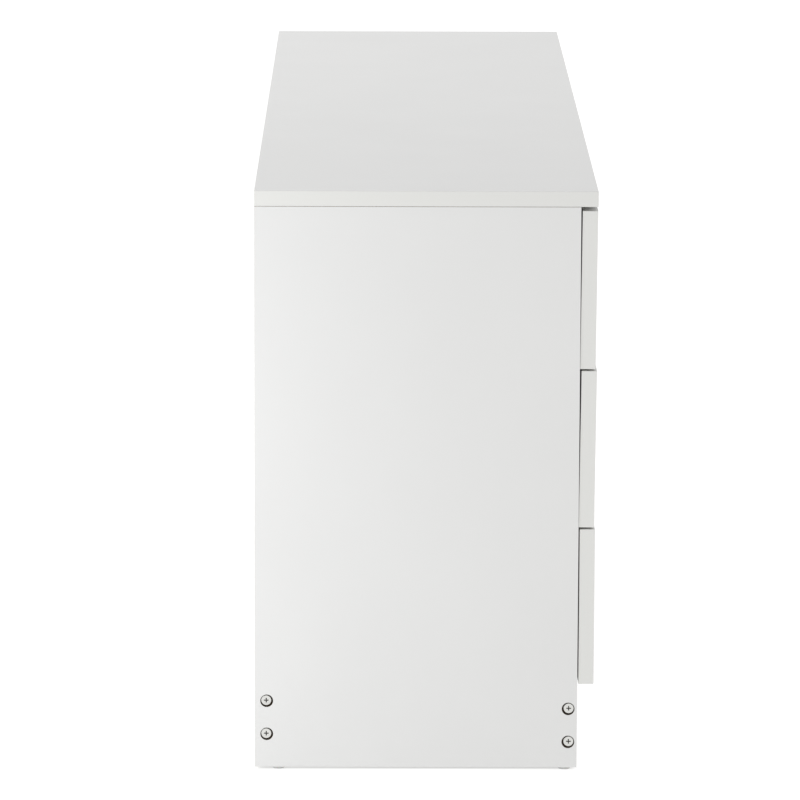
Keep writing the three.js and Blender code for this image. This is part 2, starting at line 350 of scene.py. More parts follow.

# %% [markdown]
# The cross recess of a screw or cam is painted dull and dark, as painted shade inside the recess.

# %% Painted recess shade
recess_painted_shade, tree, shader, place = new_material(
    "nickel darkened as painted recess shade", Base_Color=srgb("5c5a57"), Metallic=0.8
)
recess_mottle = add_node(
    tree, "ShaderNodeTexNoise", {"Vector": place, "Scale": 1 / (0.4 * MM), "Detail": 4}
)
polish = add_node(
    tree, "ShaderNodeMapRange", {"Value": recess_mottle.outputs["Fac"], "To Min": 0.5, "To Max": 0.8}
)
tree.links.new(polish.outputs["Result"], shader.inputs["Roughness"])
print("made", recess_painted_shade.name)

# %% [markdown]
# Rollers and glides are injection-moulded nylon. It lets a little light into its surface, which
# softens its shadows, and the mould leaves a fine spark-eroded grain.

# %% Moulded nylon
nylon, tree, shader, place = new_material(
    "moulded pale grey nylon",
    Base_Color=srgb("b8b8b7"),
    IOR=1.53,
    Subsurface_Weight=0.15,
    Subsurface_Scale=1 * MM,
)
grain = add_node(
    tree, "ShaderNodeTexNoise", {"Vector": place, "Scale": 1 / (0.5 * MM), "Detail": 3}
)
polish = add_node(
    tree, "ShaderNodeMapRange", {"Value": grain.outputs["Fac"], "To Min": 0.38, "To Max": 0.52}
)
tree.links.new(polish.outputs["Result"], shader.inputs["Roughness"])
print("made", nylon.name)

# %% [markdown]
# Every board starts as a cube at its size and place. A cutter is another primitive, taken away
# with a Boolean modifier. Then a narrow bevel eases all the edges at once, as a trimming cutter
# and a wipe of sandpaper do, and a Weighted Normal modifier keeps the wide faces flat in shading.
# Each operator works on what is selected, so one helper selects a single piece first.

# %% Modelling helpers
SHARP = math.radians(40)   # an edge that turns by more than this is rounded or kept crisp


def only(piece):
    bpy.ops.object.select_all(action="DESELECT")
    piece.select_set(True)
    bpy.context.view_layer.objects.active = piece


def named(name):
    """Names the primitive just added and moves its place into its mesh."""
    piece = bpy.context.object
    piece.name = name
    bpy.ops.object.transform_apply(location=True, rotation=True, scale=True)
    return piece


def block(name, low, high):
    low, high = Vector(low), Vector(high)
    bpy.ops.object.select_all(action="DESELECT")
    bpy.ops.mesh.primitive_cube_add(size=1, location=(low + high) / 2, scale=high - low)
    return named(name)


def round_bar(name, radius, start, end, sides=64):
    """A cylinder from one point to another."""
    start, end = Vector(start), Vector(end)
    along = end - start
    bpy.ops.object.select_all(action="DESELECT")
    bpy.ops.mesh.primitive_cylinder_add(
        vertices=sides,
        radius=radius,
        depth=along.length,
        location=(start + end) / 2,
        rotation=along.to_track_quat("Z", "Y").to_euler(),
    )
    return named(name)


def modify(piece, kind, **settings):
    """Adds a modifier with these settings and applies it."""
    only(piece)
    bpy.ops.object.modifier_add(type=kind)
    modifier = piece.modifiers[-1]
    for name, value in settings.items():
        setattr(modifier, name, value)
    bpy.ops.object.modifier_apply(modifier=modifier.name)


def cut(piece, *cutters):
    for cutter in cutters:
        modify(piece, "BOOLEAN", operation="DIFFERENCE", object=cutter, solver="EXACT")
        bpy.data.objects.remove(cutter)


def round_edges(piece, width, segments):
    limits = {"limit_method": "ANGLE", "angle_limit": SHARP}
    modify(piece, "BEVEL", width=width, segments=segments, **limits)


def smooth(piece):
    only(piece)
    bpy.ops.object.shade_smooth_by_angle(angle=SHARP)
    modify(piece, "WEIGHTED_NORMAL", keep_sharp=True, weight=100)
    return piece


def ease(piece, width, segments=3):
    """Takes the sharpness off a piece's edges and lets light run smoothly round them."""
    round_edges(piece, width, segments)
    smooth(piece)


def dress(piece, *materials):
    """Gives the piece its materials. The first one covers it until faces are painted."""
    for material in materials:
        piece.data.materials.append(material)


def settle(piece, body, slot, *nodes):
    """Puts a finished piece on its body and hides the frame nodes it stands for. slot is not used."""
    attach(piece, body)
    if nodes:
        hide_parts(*nodes)
    return piece


print("modelling helpers ready")

# %% [markdown]
# Three finishes meet on a board: the melamine faces, the banded edges and the sawn chipboard of
# hidden edges, holes and grooves. Which face is which follows from where it is and which way it
# looks: a face that looks along the board's thickness is melamine, one that lies deeper than the
# eased edge is a cut, and the rest are edges, banded unless their side is listed as raw.

# %% Paint a board
FACE, BAND, SAWN, CUT_PAINTED_SHADE = range(4)
EASE = 0.5 * MM
LOOKS_ALONG = 0.99


def paint_board(piece, thickness, raw=(), cut_finish=SAWN):
    """thickness is the axis the board is thin along. raw lists the outward directions left as sawn."""
    dress(piece, melamine, edge_band, chipboard)
    # This cut finish is chipboard painted dark, as painted shade inside bores.
    if cut_finish == CUT_PAINTED_SHADE:
        dress(piece, bore_painted_shade)
    corners = [Vector(corner) for corner in piece.bound_box]
    low, high = corners[0], corners[6]
    for face in piece.data.polygons:
        depth = min(min(face.center - low), min(high - face.center))
        if depth > 1.2 * EASE:
            face.material_index = cut_finish
        elif abs(face.normal[thickness]) > LOOKS_ALONG:
            face.material_index = FACE
        elif any(face.normal.dot(Vector(side)) > LOOKS_ALONG for side in raw):
            face.material_index = SAWN
        else:
            face.material_index = BAND


X, Y, Z = range(3)
LEFT, RIGHT, AHEAD, REAR, DOWN, UP = (
    (-1, 0, 0), (1, 0, 0), (0, -1, 0), (0, 1, 0), (0, 0, -1), (0, 0, 1)
)
print("board painter ready")

# %% [markdown]
# The plain boards of the carcass come first: the top, which covers the sides and overhangs their
# front edges, the bottom board, the partition between the two banks of drawers, and the plinth,
# rail and support below. Only the edges that show from the front and the ends are banded.

# %% Plain carcass boards
BOARDS = [
    ("top_panel", "top_board", Z, (REAR,)),
    ("bottom_panel", "bottom_board", Z, (REAR, LEFT, RIGHT)),
    ("centre_partition", "partition_board", X, (REAR, UP, DOWN)),
    ("plinth_front", "plinth_board", Y, (LEFT, RIGHT, UP, DOWN)),
    ("rear_base_rail", "base_rail_board", Y, (LEFT, RIGHT, UP, DOWN)),
    ("centre_support", "support_board", X, (AHEAD, REAR, UP, DOWN)),
]

for node, name, thickness, raw in BOARDS:
    piece = block(name, *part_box(node))
    ease(piece, EASE)
    paint_board(piece, thickness, raw)
    settle(piece, "carcass", "white_board", node)
print("carcass boards:", [name for _, name, _, _ in BOARDS])

# %% [markdown]
# Each end panel is one board with a groove near its rear edge, which the back panel slides into,
# and four sunk bores near the floor for the screws that pull the plinth and the base rail tight.
# The bores are wider than the screw heads, so a dark ring shows round each head: the bore's wall,
# its chipboard painted dark as shade.

# %% End panels
BORE_RADIUS = 7.5 * MM
SHANK_HOLE = 3.9 * MM
BORE_DEPTH = 3.6 * MM
GROOVE_PLAY = 0.3 * MM
PAST = 1 * MM             # how far a cutter runs past the face it enters
SCREW_NODES = [node for node in frame["nodes"] if node.startswith("screw_left")]

for side, hand in (("left", -1), ("right", 1)):
    node = f"side_panel_{side}"
    low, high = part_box(node)
    outer, inner = (low.x, high.x) if hand < 0 else (high.x, low.x)
    panel = block(f"end_panel_{side}", low, high)
    back_low, back_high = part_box(f"back_panel_{side}")
    groove_end = (back_low.x if hand < 0 else back_high.x) + hand * 2 * GROOVE_PLAY
    xs = sorted((groove_end, inner - hand * PAST))
    groove_low = (xs[0], back_low.y - GROOVE_PLAY, low.z - PAST)
    groove_high = (xs[1], back_high.y + GROOVE_PLAY, high.z + PAST)
    cutters = [block("groove cutter", groove_low, groove_high)]
    for screw in SCREW_NODES:
        screw_low, screw_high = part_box(screw)
        at = (screw_low + screw_high) / 2
        mouth = Vector((outer + hand * PAST, at.y, at.z))
        seat = Vector((outer - hand * BORE_DEPTH, at.y, at.z))
        through = Vector((inner - hand * PAST, at.y, at.z))
        cutters.append(round_bar("bore cutter", BORE_RADIUS, mouth, seat))
        cutters.append(round_bar("hole cutter", SHANK_HOLE, mouth, through))
    cut(panel, *cutters)
    ease(panel, EASE)
    # The bores and the groove take the bore chipboard, painted dark as shade.
    paint_board(panel, X, (UP, REAR), CUT_PAINTED_SHADE)
    settle(panel, "carcass", "white_board", node)
    print(panel.name, len(panel.data.polygons), "faces")

# %% [markdown]
# The back is two sheets of hardboard that meet behind the partition, painted side inwards. Their
# outer edges stand in the end panels' grooves, and the rest is nailed on. The nails come later,
# with the other small hardware.

# %% Back panels
def paint_hardboard(piece, painted):
    """painted is the direction that the white face looks."""
    dress(piece, raw_hardboard, painted_hardboard)
    for face in piece.data.polygons:
        face.material_index = int(face.normal.dot(Vector(painted)) > LOOKS_ALONG)


for side in ("left", "right"):
    node = f"back_panel_{side}"
    sheet = block(f"back_sheet_{side}", *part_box(node))
    ease(sheet, 0.25 * MM, 2)
    paint_hardboard(sheet, AHEAD)
    settle(sheet, "carcass", "hardboard", node)
print("back sheets made")

# %% [markdown]
# A drawer front is a board with a finger pull cut in the middle of its top edge: a slot with
# round ends, taken out with two cylinders and a block between them. The band runs on round the
# cut. The front is made upright and then leans out at its top by the small angle that the frame's
# node has, turned about its lower rear edge.

# %% Drawer fronts
DRAWERS = [body for body in frame["bodies"] if body.startswith("drawer_")]
top_low, top_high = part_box("top_panel")
BOARD = top_high.z - top_low.z
FRONT_HEIGHT = 186 * MM
PULL_HALF_WIDTH = 60 * MM
PULL_DEPTH = 24 * MM
FRONT_EASE = 0.6 * MM
GROOVE_DEPTH = 6 * MM


def drawer_front(body):
    node = f"{body}_front"
    low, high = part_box(node)
    lean = math.asin((high.y - low.y - BOARD) / FRONT_HEIGHT)
    rear_edge = Vector((0, high.y, low.z + BOARD * math.sin(lean)))
    upright_low = (low.x, high.y - BOARD, rear_edge.z)
    piece = block(f"{body}_front_board", upright_low, (high.x, high.y, rear_edge.z + FRONT_HEIGHT))
    top = rear_edge.z + FRONT_HEIGHT
    middle = (low.x + high.x) / 2
    ahead, behind = high.y - BOARD - PAST, high.y + PAST
    straight = PULL_HALF_WIDTH - PULL_DEPTH
    ends = [
        round_bar("pull cutter", PULL_DEPTH, (middle + x, ahead, top), (middle + x, behind, top))
        for x in (-straight, straight)
    ]
    slot_low = (middle - straight, ahead, top - PULL_DEPTH)
    slot = block("pull cutter", slot_low, (middle + straight, behind, top + PAST))
    bottom_low, bottom_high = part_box(f"{body}_bottom")
    groove_low = (bottom_low.x - GROOVE_PLAY, high.y - GROOVE_DEPTH, bottom_low.z - GROOVE_PLAY)
    groove_high = (bottom_high.x + GROOVE_PLAY, behind, bottom_high.z + GROOVE_PLAY)
    cut(piece, *ends, slot, block("groove cutter", groove_low, groove_high))
    ease(piece, FRONT_EASE)
    paint_board(piece, Y, cut_finish=BAND)
    only(piece)
    bpy.ops.object.mode_set(mode="EDIT")
    bpy.ops.mesh.select_all(action="SELECT")
    bpy.ops.transform.rotate(value=-lean, orient_axis="X", center_override=rear_edge)
    bpy.ops.object.mode_set(mode="OBJECT")
    return settle(piece, body, "white_board", node), lean


for body in DRAWERS:
    piece, lean = drawer_front(body)
    print(piece.name, "leans", round(math.degrees(lean), 2), "degrees")

# %% [markdown]
# A drawer box is two sides and a back of 12 mm board with a hardboard bottom in grooves. The
# sides' grooves are cut before the edges are eased. Their top edges are banded, because a hand
# meets them, and the other edges are sawn.

# %% Drawer boxes
def drawer_box(body):
    bottom_low, bottom_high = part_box(f"{body}_bottom")
    for side in ("left", "right"):
        node = f"{body}_side_{side}"
        low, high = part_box(node)
        piece = block(f"{body}_{side}_board", low, high)
        groove_low = (bottom_low.x - GROOVE_PLAY, low.y - PAST, bottom_low.z - GROOVE_PLAY)
        groove_high = (bottom_high.x + GROOVE_PLAY, high.y + PAST, bottom_high.z + GROOVE_PLAY)
        cut(piece, block("groove cutter", groove_low, groove_high))
        ease(piece, EASE)
        paint_board(piece, X, (AHEAD, REAR, DOWN))
        settle(piece, body, "white_board", node)
    back = block(f"{body}_back_board", *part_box(f"{body}_back"))
    ease(back, EASE)
    paint_board(back, Y, (LEFT, RIGHT, DOWN))
    settle(back, body, "white_board", f"{body}_back")
    sheet = block(f"{body}_bottom_sheet", bottom_low, bottom_high)
    ease(sheet, 0.25 * MM, 2)
    paint_hardboard(sheet, UP)
    settle(sheet, body, "hardboard", f"{body}_bottom")


for body in DRAWERS:
    drawer_box(body)
print("boxes for", len(DRAWERS), "drawers")

# %% [markdown]
# A roller runner is a pair of steel profiles. The cabinet's profile is a channel with a lip,
# screwed to the board, and it has a nylon roller at its front. The drawer's profile is bent
# twice: one flange carries the drawer's lower edge and the other rests on that roller. It has a
# roller of its own at its rear, which runs inside the channel.
#
# Strip steel is folded, so each profile starts as one plane, and each further leg is extruded
# from its last edge. A bevel rounds the bends, and Solidify gives the steel its thickness.
# Profiles are drawn in the plane across the runner: u out from the board, w up from the bottom.

# %% Fold a strip of steel
STEEL = 1.2 * MM
BEND = 1.6 * MM


def folded_strip(name, line, y_front, y_rear):
    """line holds the (u, w) corners of the middle of the steel; the strip runs along Y."""
    (u0, w0), (u1, w1) = line[:2]
    leg = Vector((u1 - u0, 0, w1 - w0))
    bpy.ops.object.select_all(action="DESELECT")
    bpy.ops.mesh.primitive_plane_add(
        size=1,
        location=((u0 + u1) / 2, (y_front + y_rear) / 2, (w0 + w1) / 2),
        rotation=(0, -math.atan2(leg.z, leg.x), 0),
    )
    bpy.context.object.scale = (leg.length, y_rear - y_front, 1)
    strip = named(name)
    bpy.ops.object.mode_set(mode="EDIT")
    bpy.ops.mesh.select_mode(type="VERT")
    bpy.ops.mesh.select_all(action="DESELECT")
    bpy.ops.object.mode_set(mode="OBJECT")
    for vertex in strip.data.vertices:
        vertex.select = math.hypot(vertex.co.x - u1, vertex.co.z - w1) < 0.01 * MM
    bpy.ops.object.mode_set(mode="EDIT")
    for (u, w), (next_u, next_w) in zip(line[1:], line[2:]):
        step = (next_u - u, 0, next_w - w)
        bpy.ops.mesh.extrude_region_move(TRANSFORM_OT_translate={"value": step})
    bpy.ops.object.mode_set(mode="OBJECT")
    round_edges(strip, BEND, 3)
    modify(strip, "SOLIDIFY", thickness=STEEL, offset=0, use_even_offset=True)
    return strip


def place_copy(master, name, place, hand=1):
    """A copy with its own mesh, mirrored across X where hand is -1, with its origin at place."""
    only(master)
    bpy.ops.object.duplicate()
    piece = bpy.context.object
    piece.name = name
    piece.data.transform(Matrix.Translation(place) @ Matrix.Diagonal((hand, 1, 1, 1)))
    if hand < 0:
        bpy.ops.object.mode_set(mode="EDIT")
        bpy.ops.mesh.select_all(action="SELECT")
        bpy.ops.mesh.remove_doubles(threshold=0.001 * MM)
        bpy.ops.mesh.normals_make_consistent(inside=False)
        bpy.ops.object.mode_set(mode="OBJECT")
    return piece


def pick_faces(piece, wanted):
    """Leaves the piece in edit mode with the wanted faces selected."""
    only(piece)
    bpy.ops.object.mode_set(mode="EDIT")
    bpy.ops.mesh.select_mode(type="FACE")
    bpy.ops.mesh.select_all(action="DESELECT")
    bpy.ops.object.mode_set(mode="OBJECT")
    for face in piece.data.polygons:
        face.select = wanted(face)
    bpy.ops.object.mode_set(mode="EDIT")


def join(*pieces):
    """Joins the pieces into the first one."""
    only(pieces[0])
    for piece in pieces[1:]:
        piece.select_set(True)
    bpy.ops.object.join()
    return pieces[0]


print("folding helpers ready")

# %% [markdown]
# The two profiles are folded once each. The channel gets oblong screw slots, cut as two round
# holes and the block between them. The drawer's profile loses a stretch of its upper flange at
# the rear, where its own roller sits.

# %% Runner profiles
RUNNER_HEIGHT = 26 * MM
RUNNER_WIDTH = 10.5 * MM
LIP = 3 * MM
HALF = STEEL / 2
runner_low, runner_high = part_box("runner_left_bottom_outer")
Y_FRONT, Y_REAR = runner_low.y, runner_high.y
SLOT_RADIUS = 2 * MM
SLOT_HALF_LENGTH = 3 * MM
SLOT_RISE = 13 * MM
SCREW_PLACES = [-130 * MM, -10 * MM, 120 * MM]
SPARE_SLOTS = [-98 * MM, 22 * MM, 88 * MM]

channel_line = [
    (RUNNER_WIDTH, RUNNER_HEIGHT - HALF),
    (HALF, RUNNER_HEIGHT - HALF),
    (HALF, HALF),
    (RUNNER_WIDTH - HALF, HALF),
    (RUNNER_WIDTH - HALF, LIP),
]
channel = folded_strip("channel", channel_line, Y_FRONT, Y_REAR)
for y in SCREW_PLACES + SPARE_SLOTS:
    for end in (-1, 1):
        middle = y + end * SLOT_HALF_LENGTH
        start, stop = (-PAST, middle, SLOT_RISE), (STEEL + PAST, middle, SLOT_RISE)
        cut(channel, round_bar("slot cutter", SLOT_RADIUS, start, stop, 24))
    slot_low = (-PAST, y - SLOT_HALF_LENGTH, SLOT_RISE - SLOT_RADIUS)
    slot_high = (STEEL + PAST, y + SLOT_HALF_LENGTH, SLOT_RISE + SLOT_RADIUS)
    cut(channel, block("slot cutter", slot_low, slot_high))

RAIL_OUTER = 11.9 * MM     # middle of the drawer profile's upright leg
RAIL_FOOT = 6.6 * MM
RAIL_SHELF = 19.5 * MM
RAIL_INNER_EDGE = 3.5 * MM
RAIL_UNDER = 24 * MM
RAIL_REAR = Y_REAR - 2 * MM
rail_line = [
    (RAIL_UNDER, RAIL_FOOT),
    (RAIL_OUTER, RAIL_FOOT),
    (RAIL_OUTER, RAIL_SHELF),
    (RAIL_INNER_EDGE, RAIL_SHELF),
]
rail = folded_strip("rail", rail_line, Y_FRONT, RAIL_REAR)
ROLLER_ROOM = 26 * MM
room_low = (0, RAIL_REAR - ROLLER_ROOM, RAIL_SHELF - BEND)
room_high = (RAIL_OUTER - BEND, RAIL_REAR + PAST, RAIL_SHELF + BEND)
cut(rail, block("room cutter", room_low, room_high))
for piece in (channel, rail):
    dress(piece, coated_steel)
    print(piece.name, len(piece.data.polygons), "faces")

# %% [markdown]
# A roller is a nylon disc with a rounded tread and a dished face, and it turns on a rivet. It is
# a beveled cylinder whose end faces are inset twice, the second time inwards. The rivet's head is
# a flattened sphere.

# %% Rollers
ROLLER_IN, ROLLER_OUT = 3.1 * MM, 9 * MM
FRONT_ROLLER_RADIUS = 8.5 * MM
REAR_ROLLER_RADIUS = 11 * MM
AXLE_INSET = 12 * MM       # from the profile's end
FRONT_AXLE_RISE = 10.3 * MM
REAR_AXLE_RISE = 12.6 * MM
RIVET_HEAD_SINK = 0.3 * MM


def roller_on_rivet(name, radius, y, w, shaft_ends, head_u):
    """The roller turns about an axis along u. The rivet's head sits at head_u."""
    wheel = round_bar(name, radius, (ROLLER_IN, y, w), (ROLLER_OUT, y, w), 48)
    round_edges(wheel, 1.2 * MM, 4)
    pick_faces(wheel, lambda face: len(face.vertices) > 4)
    bpy.ops.mesh.inset(thickness=0.12 * radius)
    bpy.ops.mesh.inset(thickness=0.3 * MM, depth=-0.9 * MM)
    bpy.ops.mesh.inset(thickness=0.38 * radius)
    bpy.ops.mesh.inset(thickness=0.3 * MM, depth=0.9 * MM)
    bpy.ops.object.mode_set(mode="OBJECT")
    dress(wheel, nylon)
    shaft = round_bar("shaft", 1.9 * MM, *[(u, y, w) for u in shaft_ends], 24)
    bpy.ops.object.select_all(action="DESELECT")
    bpy.ops.mesh.primitive_uv_sphere_add(
        segments=24,
        ring_count=12,
        radius=3 * MM,
        location=(head_u, y, w),
        rotation=(0, math.pi / 2, 0),
    )
    bpy.context.object.scale = (1, 1, 0.2)
    head = named("rivet head")
    for piece in (shaft, head):
        dress(piece, zinc)
    return join(wheel, shaft, head)


front_roller = roller_on_rivet(
    "front roller",
    FRONT_ROLLER_RADIUS,
    Y_FRONT + AXLE_INSET,
    FRONT_AXLE_RISE,
    (HALF, ROLLER_OUT),
    ROLLER_OUT - RIVET_HEAD_SINK,
)
rear_roller = roller_on_rivet(
    "rear roller",
    REAR_ROLLER_RADIUS,
    RAIL_REAR - AXLE_INSET,
    REAR_AXLE_RISE,
    (ROLLER_IN, RAIL_OUTER),
    ROLLER_IN + RIVET_HEAD_SINK,
)
print("rollers:", len(front_roller.data.polygons), len(rear_roller.data.polygons), "faces")

# %% [markdown]
# Every screw has a cross recess, so one function cuts it: two crossed blocks taken out of the
# head. Heads are cylinders whose rim is beveled round. The big screws that show at the cabinet's
# end have a shank as well, narrowed to a point by scaling its last ring.

# %% Screws
def cross_recess(head, length, width, depth):
    """Cuts a cross into a head whose outer face is at u = 0 and looks towards -u."""
    for across, up in ((length, width), (width, length)):
        low = (-PAST, -across / 2, -up / 2)
        cut(head, block("recess cutter", low, (depth, across / 2, up / 2)))
    # The recess's faces take the head's second material, the painted recess shade.
    for face in head.data.polygons:
        _, y, z = face.center
        if max(abs(y), abs(z)) < 0.51 * length and face.center.x > 0.35 * depth:
            face.material_index = 1


def screw_head(name, radius, thickness, rim, recess):
    """A dished head from u = 0 to its thickness, facing -u, with the recess's length."""
    head = round_bar(name, radius, (0, 0, 0), (thickness, 0, 0), 48)
    round_edges(head, rim, 5)
    pick_faces(head, lambda face: face.normal.x < -LOOKS_ALONG)
    bpy.ops.mesh.inset(thickness=0.2 * radius)
    bpy.ops.mesh.inset(thickness=0.08 * radius, depth=-0.1 * thickness)
    bpy.ops.object.mode_set(mode="OBJECT")
    dress(head, nickel, recess_painted_shade)
    cross_recess(head, recess, 0.23 * recess, 0.7 * thickness)
    return head


screw_low, screw_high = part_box(SCREW_NODES[0])
HEAD_RADIUS = (screw_high.z - screw_low.z) / 2
HEAD_THICK = 2.7 * MM
SCREW_LENGTH = screw_high.x - screw_low.x
end_screw = screw_head("end screw", HEAD_RADIUS, HEAD_THICK, 0.9 * MM, 5.6 * MM)
POINT_LENGTH = 5 * MM
shank_start, shank_end = (0.9 * HEAD_THICK, 0, 0), (SCREW_LENGTH - POINT_LENGTH, 0, 0)
shank = round_bar("shank", 3 * MM, shank_start, shank_end, 32)
pick_faces(shank, lambda face: face.normal.x > LOOKS_ALONG)
bpy.ops.mesh.extrude_region_move(TRANSFORM_OT_translate={"value": (POINT_LENGTH, 0, 0)})
bpy.ops.transform.resize(value=(1, 0.25, 0.25), center_override=(SCREW_LENGTH, 0, 0))
bpy.ops.object.mode_set(mode="OBJECT")
dress(shank, nickel)
join(end_screw, shank)

SMALL_HEAD_THICK = 1.4 * MM
small_screw = screw_head("small screw", 3.4 * MM, SMALL_HEAD_THICK, 0.5 * MM, 3.6 * MM)
print("screws:", len(end_screw.data.polygons), len(small_screw.data.polygons), "faces")

# %% [markdown]
# Now the masters are copied to their places. The frame's runner nodes say where each channel
# goes and which way it opens: away from the board that it is screwed to. The drawer's profile
# and rear roller ride on the drawer, and the channel, its roller and its screws on the carcass.

# %% Place the runners
RUNNERS = [node for node in frame["nodes"] if node.startswith("runner_")]
for node in RUNNERS:
    _, bank, level, edge = node.split("_")
    low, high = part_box(node)
    hand = 1 if (bank == "left") == (edge == "outer") else -1
    origin = Vector((low.x if hand > 0 else high.x, 0, low.z))
    drawer = f"drawer_{bank}_{level}"
    where = f"{bank}_{level}_{edge}"
    piece = smooth(place_copy(channel, f"channel_{where}", origin, hand))
    settle(piece, "carcass", "runner_steel", node)
    piece = smooth(place_copy(front_roller, f"front_roller_{where}", origin, hand))
    settle(piece, "carcass", "white_nylon")
    heads = []
    for y in SCREW_PLACES:
        at = origin + Vector((hand * (STEEL + SMALL_HEAD_THICK), y, SLOT_RISE))
        heads.append(place_copy(small_screw, f"runner_screws_{where}", at, -hand))
    settle(smooth(join(*heads)), "carcass", "screw_nickel")
    piece = smooth(place_copy(rail, f"rail_{where}", origin, hand))
    settle(piece, drawer, "runner_steel")
    piece = smooth(place_copy(rear_roller, f"rear_roller_{where}", origin, hand))
    settle(piece, drawer, "white_nylon")
print("runners placed:", len(RUNNERS))

# %% [markdown]
# The end screws stand in the sunk bores, with their heads just under the surface. The frame
# shows the left end's four, and the right end's are the same, mirrored. A head is narrower than
# its bore and seldom sits in the middle: these lean up and away from the panel's centre.

# %% Place the end screws
HEAD_PLAY = 0.6 * MM
for node in SCREW_NODES:
    low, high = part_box(node)
    middle = (low + high) / 2
    for side, hand in (("left", 1), ("right", -1)):
        outward = math.copysign(HEAD_PLAY, middle.y)
        at = (hand * low.x, middle.y + outward, middle.z + HEAD_PLAY)
        name = node.replace("screw_left", f"end_screw_{side}")
        piece = smooth(place_copy(end_screw, name, at, hand))
        settle(piece, "carcass", "screw_nickel", *([node] if side == "left" else []))
print("end screws placed:", 2 * len(SCREW_NODES))

# %% [markdown]
# The cabinet stands on six nail-on glides: a nylon button with a rounded underside, and a pin
# that is driven into the board's lower edge. Four are under the end panels and two under the
# centre support.

# %% Glides
GLIDES = [node for node in frame["nodes"] if node.startswith("glide_")]
glide_low, glide_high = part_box(GLIDES[0])
GLIDE_RADIUS = (glide_high.x - glide_low.x) / 2
GLIDE_HEIGHT = 2.7 * MM
PIN_LENGTH = glide_high.z - glide_low.z
button = round_bar("glide", GLIDE_RADIUS, (0, 0, 0), (0, 0, GLIDE_HEIGHT), 48)
pick_faces(button, lambda face: face.normal.z < -LOOKS_ALONG)
bpy.ops.mesh.bevel(offset=1.9 * MM, segments=6, profile=0.6)
bpy.ops.object.mode_set(mode="OBJECT")
dress(button, nylon)
pin = round_bar("pin", 1.2 * MM, (0, 0, GLIDE_HEIGHT / 2), (0, 0, PIN_LENGTH), 16)
dress(pin, nickel)
glide = join(button, pin)

support_low, support_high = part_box("centre_support")
END_GAP = 16 * MM
spots = {node: sum(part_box(node), Vector()) / 2 for node in GLIDES}
spots["glide_centre_front"] = Vector((0, support_low.y + END_GAP, 0))
spots["glide_centre_rear"] = Vector((0, support_high.y - END_GAP, 0))
for name, at in spots.items():
    nodes = [name] if name in GLIDES else []
    piece = smooth(place_copy(glide, f"nylon_{name}", (at.x, at.y, glide_low.z)))
    settle(piece, "carcass", "white_nylon", *nodes)
print("glides placed:", len(spots))

# %% [markdown]
# Flat-pack boards are pulled together by cams: a zinc disc sunk in one board turns with a
# screwdriver and draws in a bolt from the other. The carcass has them below the top board, in
# both ends and the partition, and each drawer has two in each side, behind its front. The
# drawer's back is screwed through the sides.

# %% Cams and drawer screws
CAM_PROUD = 0.4 * MM


def cam_disc(name, radius):
    """A disc whose face looks towards -u, at u = 0, with its body sunk into the board."""
    disc = round_bar(name, radius, (0, 0, 0), (3 * MM, 0, 0), 48)
    round_edges(disc, 0.3 * MM, 2)
    dress(disc, zinc, recess_painted_shade)
    cross_recess(disc, 0.9 * radius, 0.25 * radius, 2 * MM)
    return disc


def place_group(master, name, body, slot, places):
    """One piece made of a copy of the master at each place; places are (x, y, z, hand)."""
    copies = [place_copy(master, name, place[:3], place[3]) for place in places]
    settle(smooth(join(*copies)), body, slot)


large_cam = cam_disc("large cam", 7.5 * MM)
small_cam = cam_disc("small cam", 6 * MM)
CAM_DROP = 34 * MM
CAM_YS = (-110 * MM, 110 * MM)
cam_z = top_low.z - CAM_DROP
for node, hands in (
    ("side_panel_left", (-1,)),
    ("centre_partition", (-1, 1)),
    ("side_panel_right", (1,)),
):
    low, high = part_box(node)
    places = [
        (high.x + CAM_PROUD if hand < 0 else low.x - CAM_PROUD, y, cam_z, hand)
        for hand in hands
        for y in CAM_YS
    ]
    place_group(large_cam, f"cams_{node}", "carcass", "screw_nickel", places)

CAM_BACK = 24 * MM
FIX_RISES = (52 * MM, 100 * MM)
SCREW_PROUD = 0.3 * MM
for body in DRAWERS:
    outer_faces = (
        (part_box(f"{body}_side_left")[0].x, 1),
        (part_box(f"{body}_side_right")[1].x, -1),
    )
    box_low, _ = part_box(f"{body}_side_left")
    back_low, back_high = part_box(f"{body}_back")
    cam_places = [
        (x - hand * CAM_PROUD, box_low.y + CAM_BACK, box_low.z + rise, hand)
        for x, hand in outer_faces
        for rise in FIX_RISES
    ]
    place_group(small_cam, f"{body}_cams", body, "screw_nickel", cam_places)
    back_y = (back_low.y + back_high.y) / 2
    screw_places = [
        (x - hand * SCREW_PROUD, back_y, box_low.z + rise, hand)
        for x, hand in outer_faces
        for rise in FIX_RISES
    ]
    place_group(small_screw, f"{body}_screws", body, "screw_nickel", screw_places)
print("cams and screws on", len(DRAWERS), "drawers")

# %% [markdown]
# The two back sheets are nailed to the rear edges of the bottom board and the partition, every
# 120 mm or so. A nail's head is a small cylinder with a rounded rim.

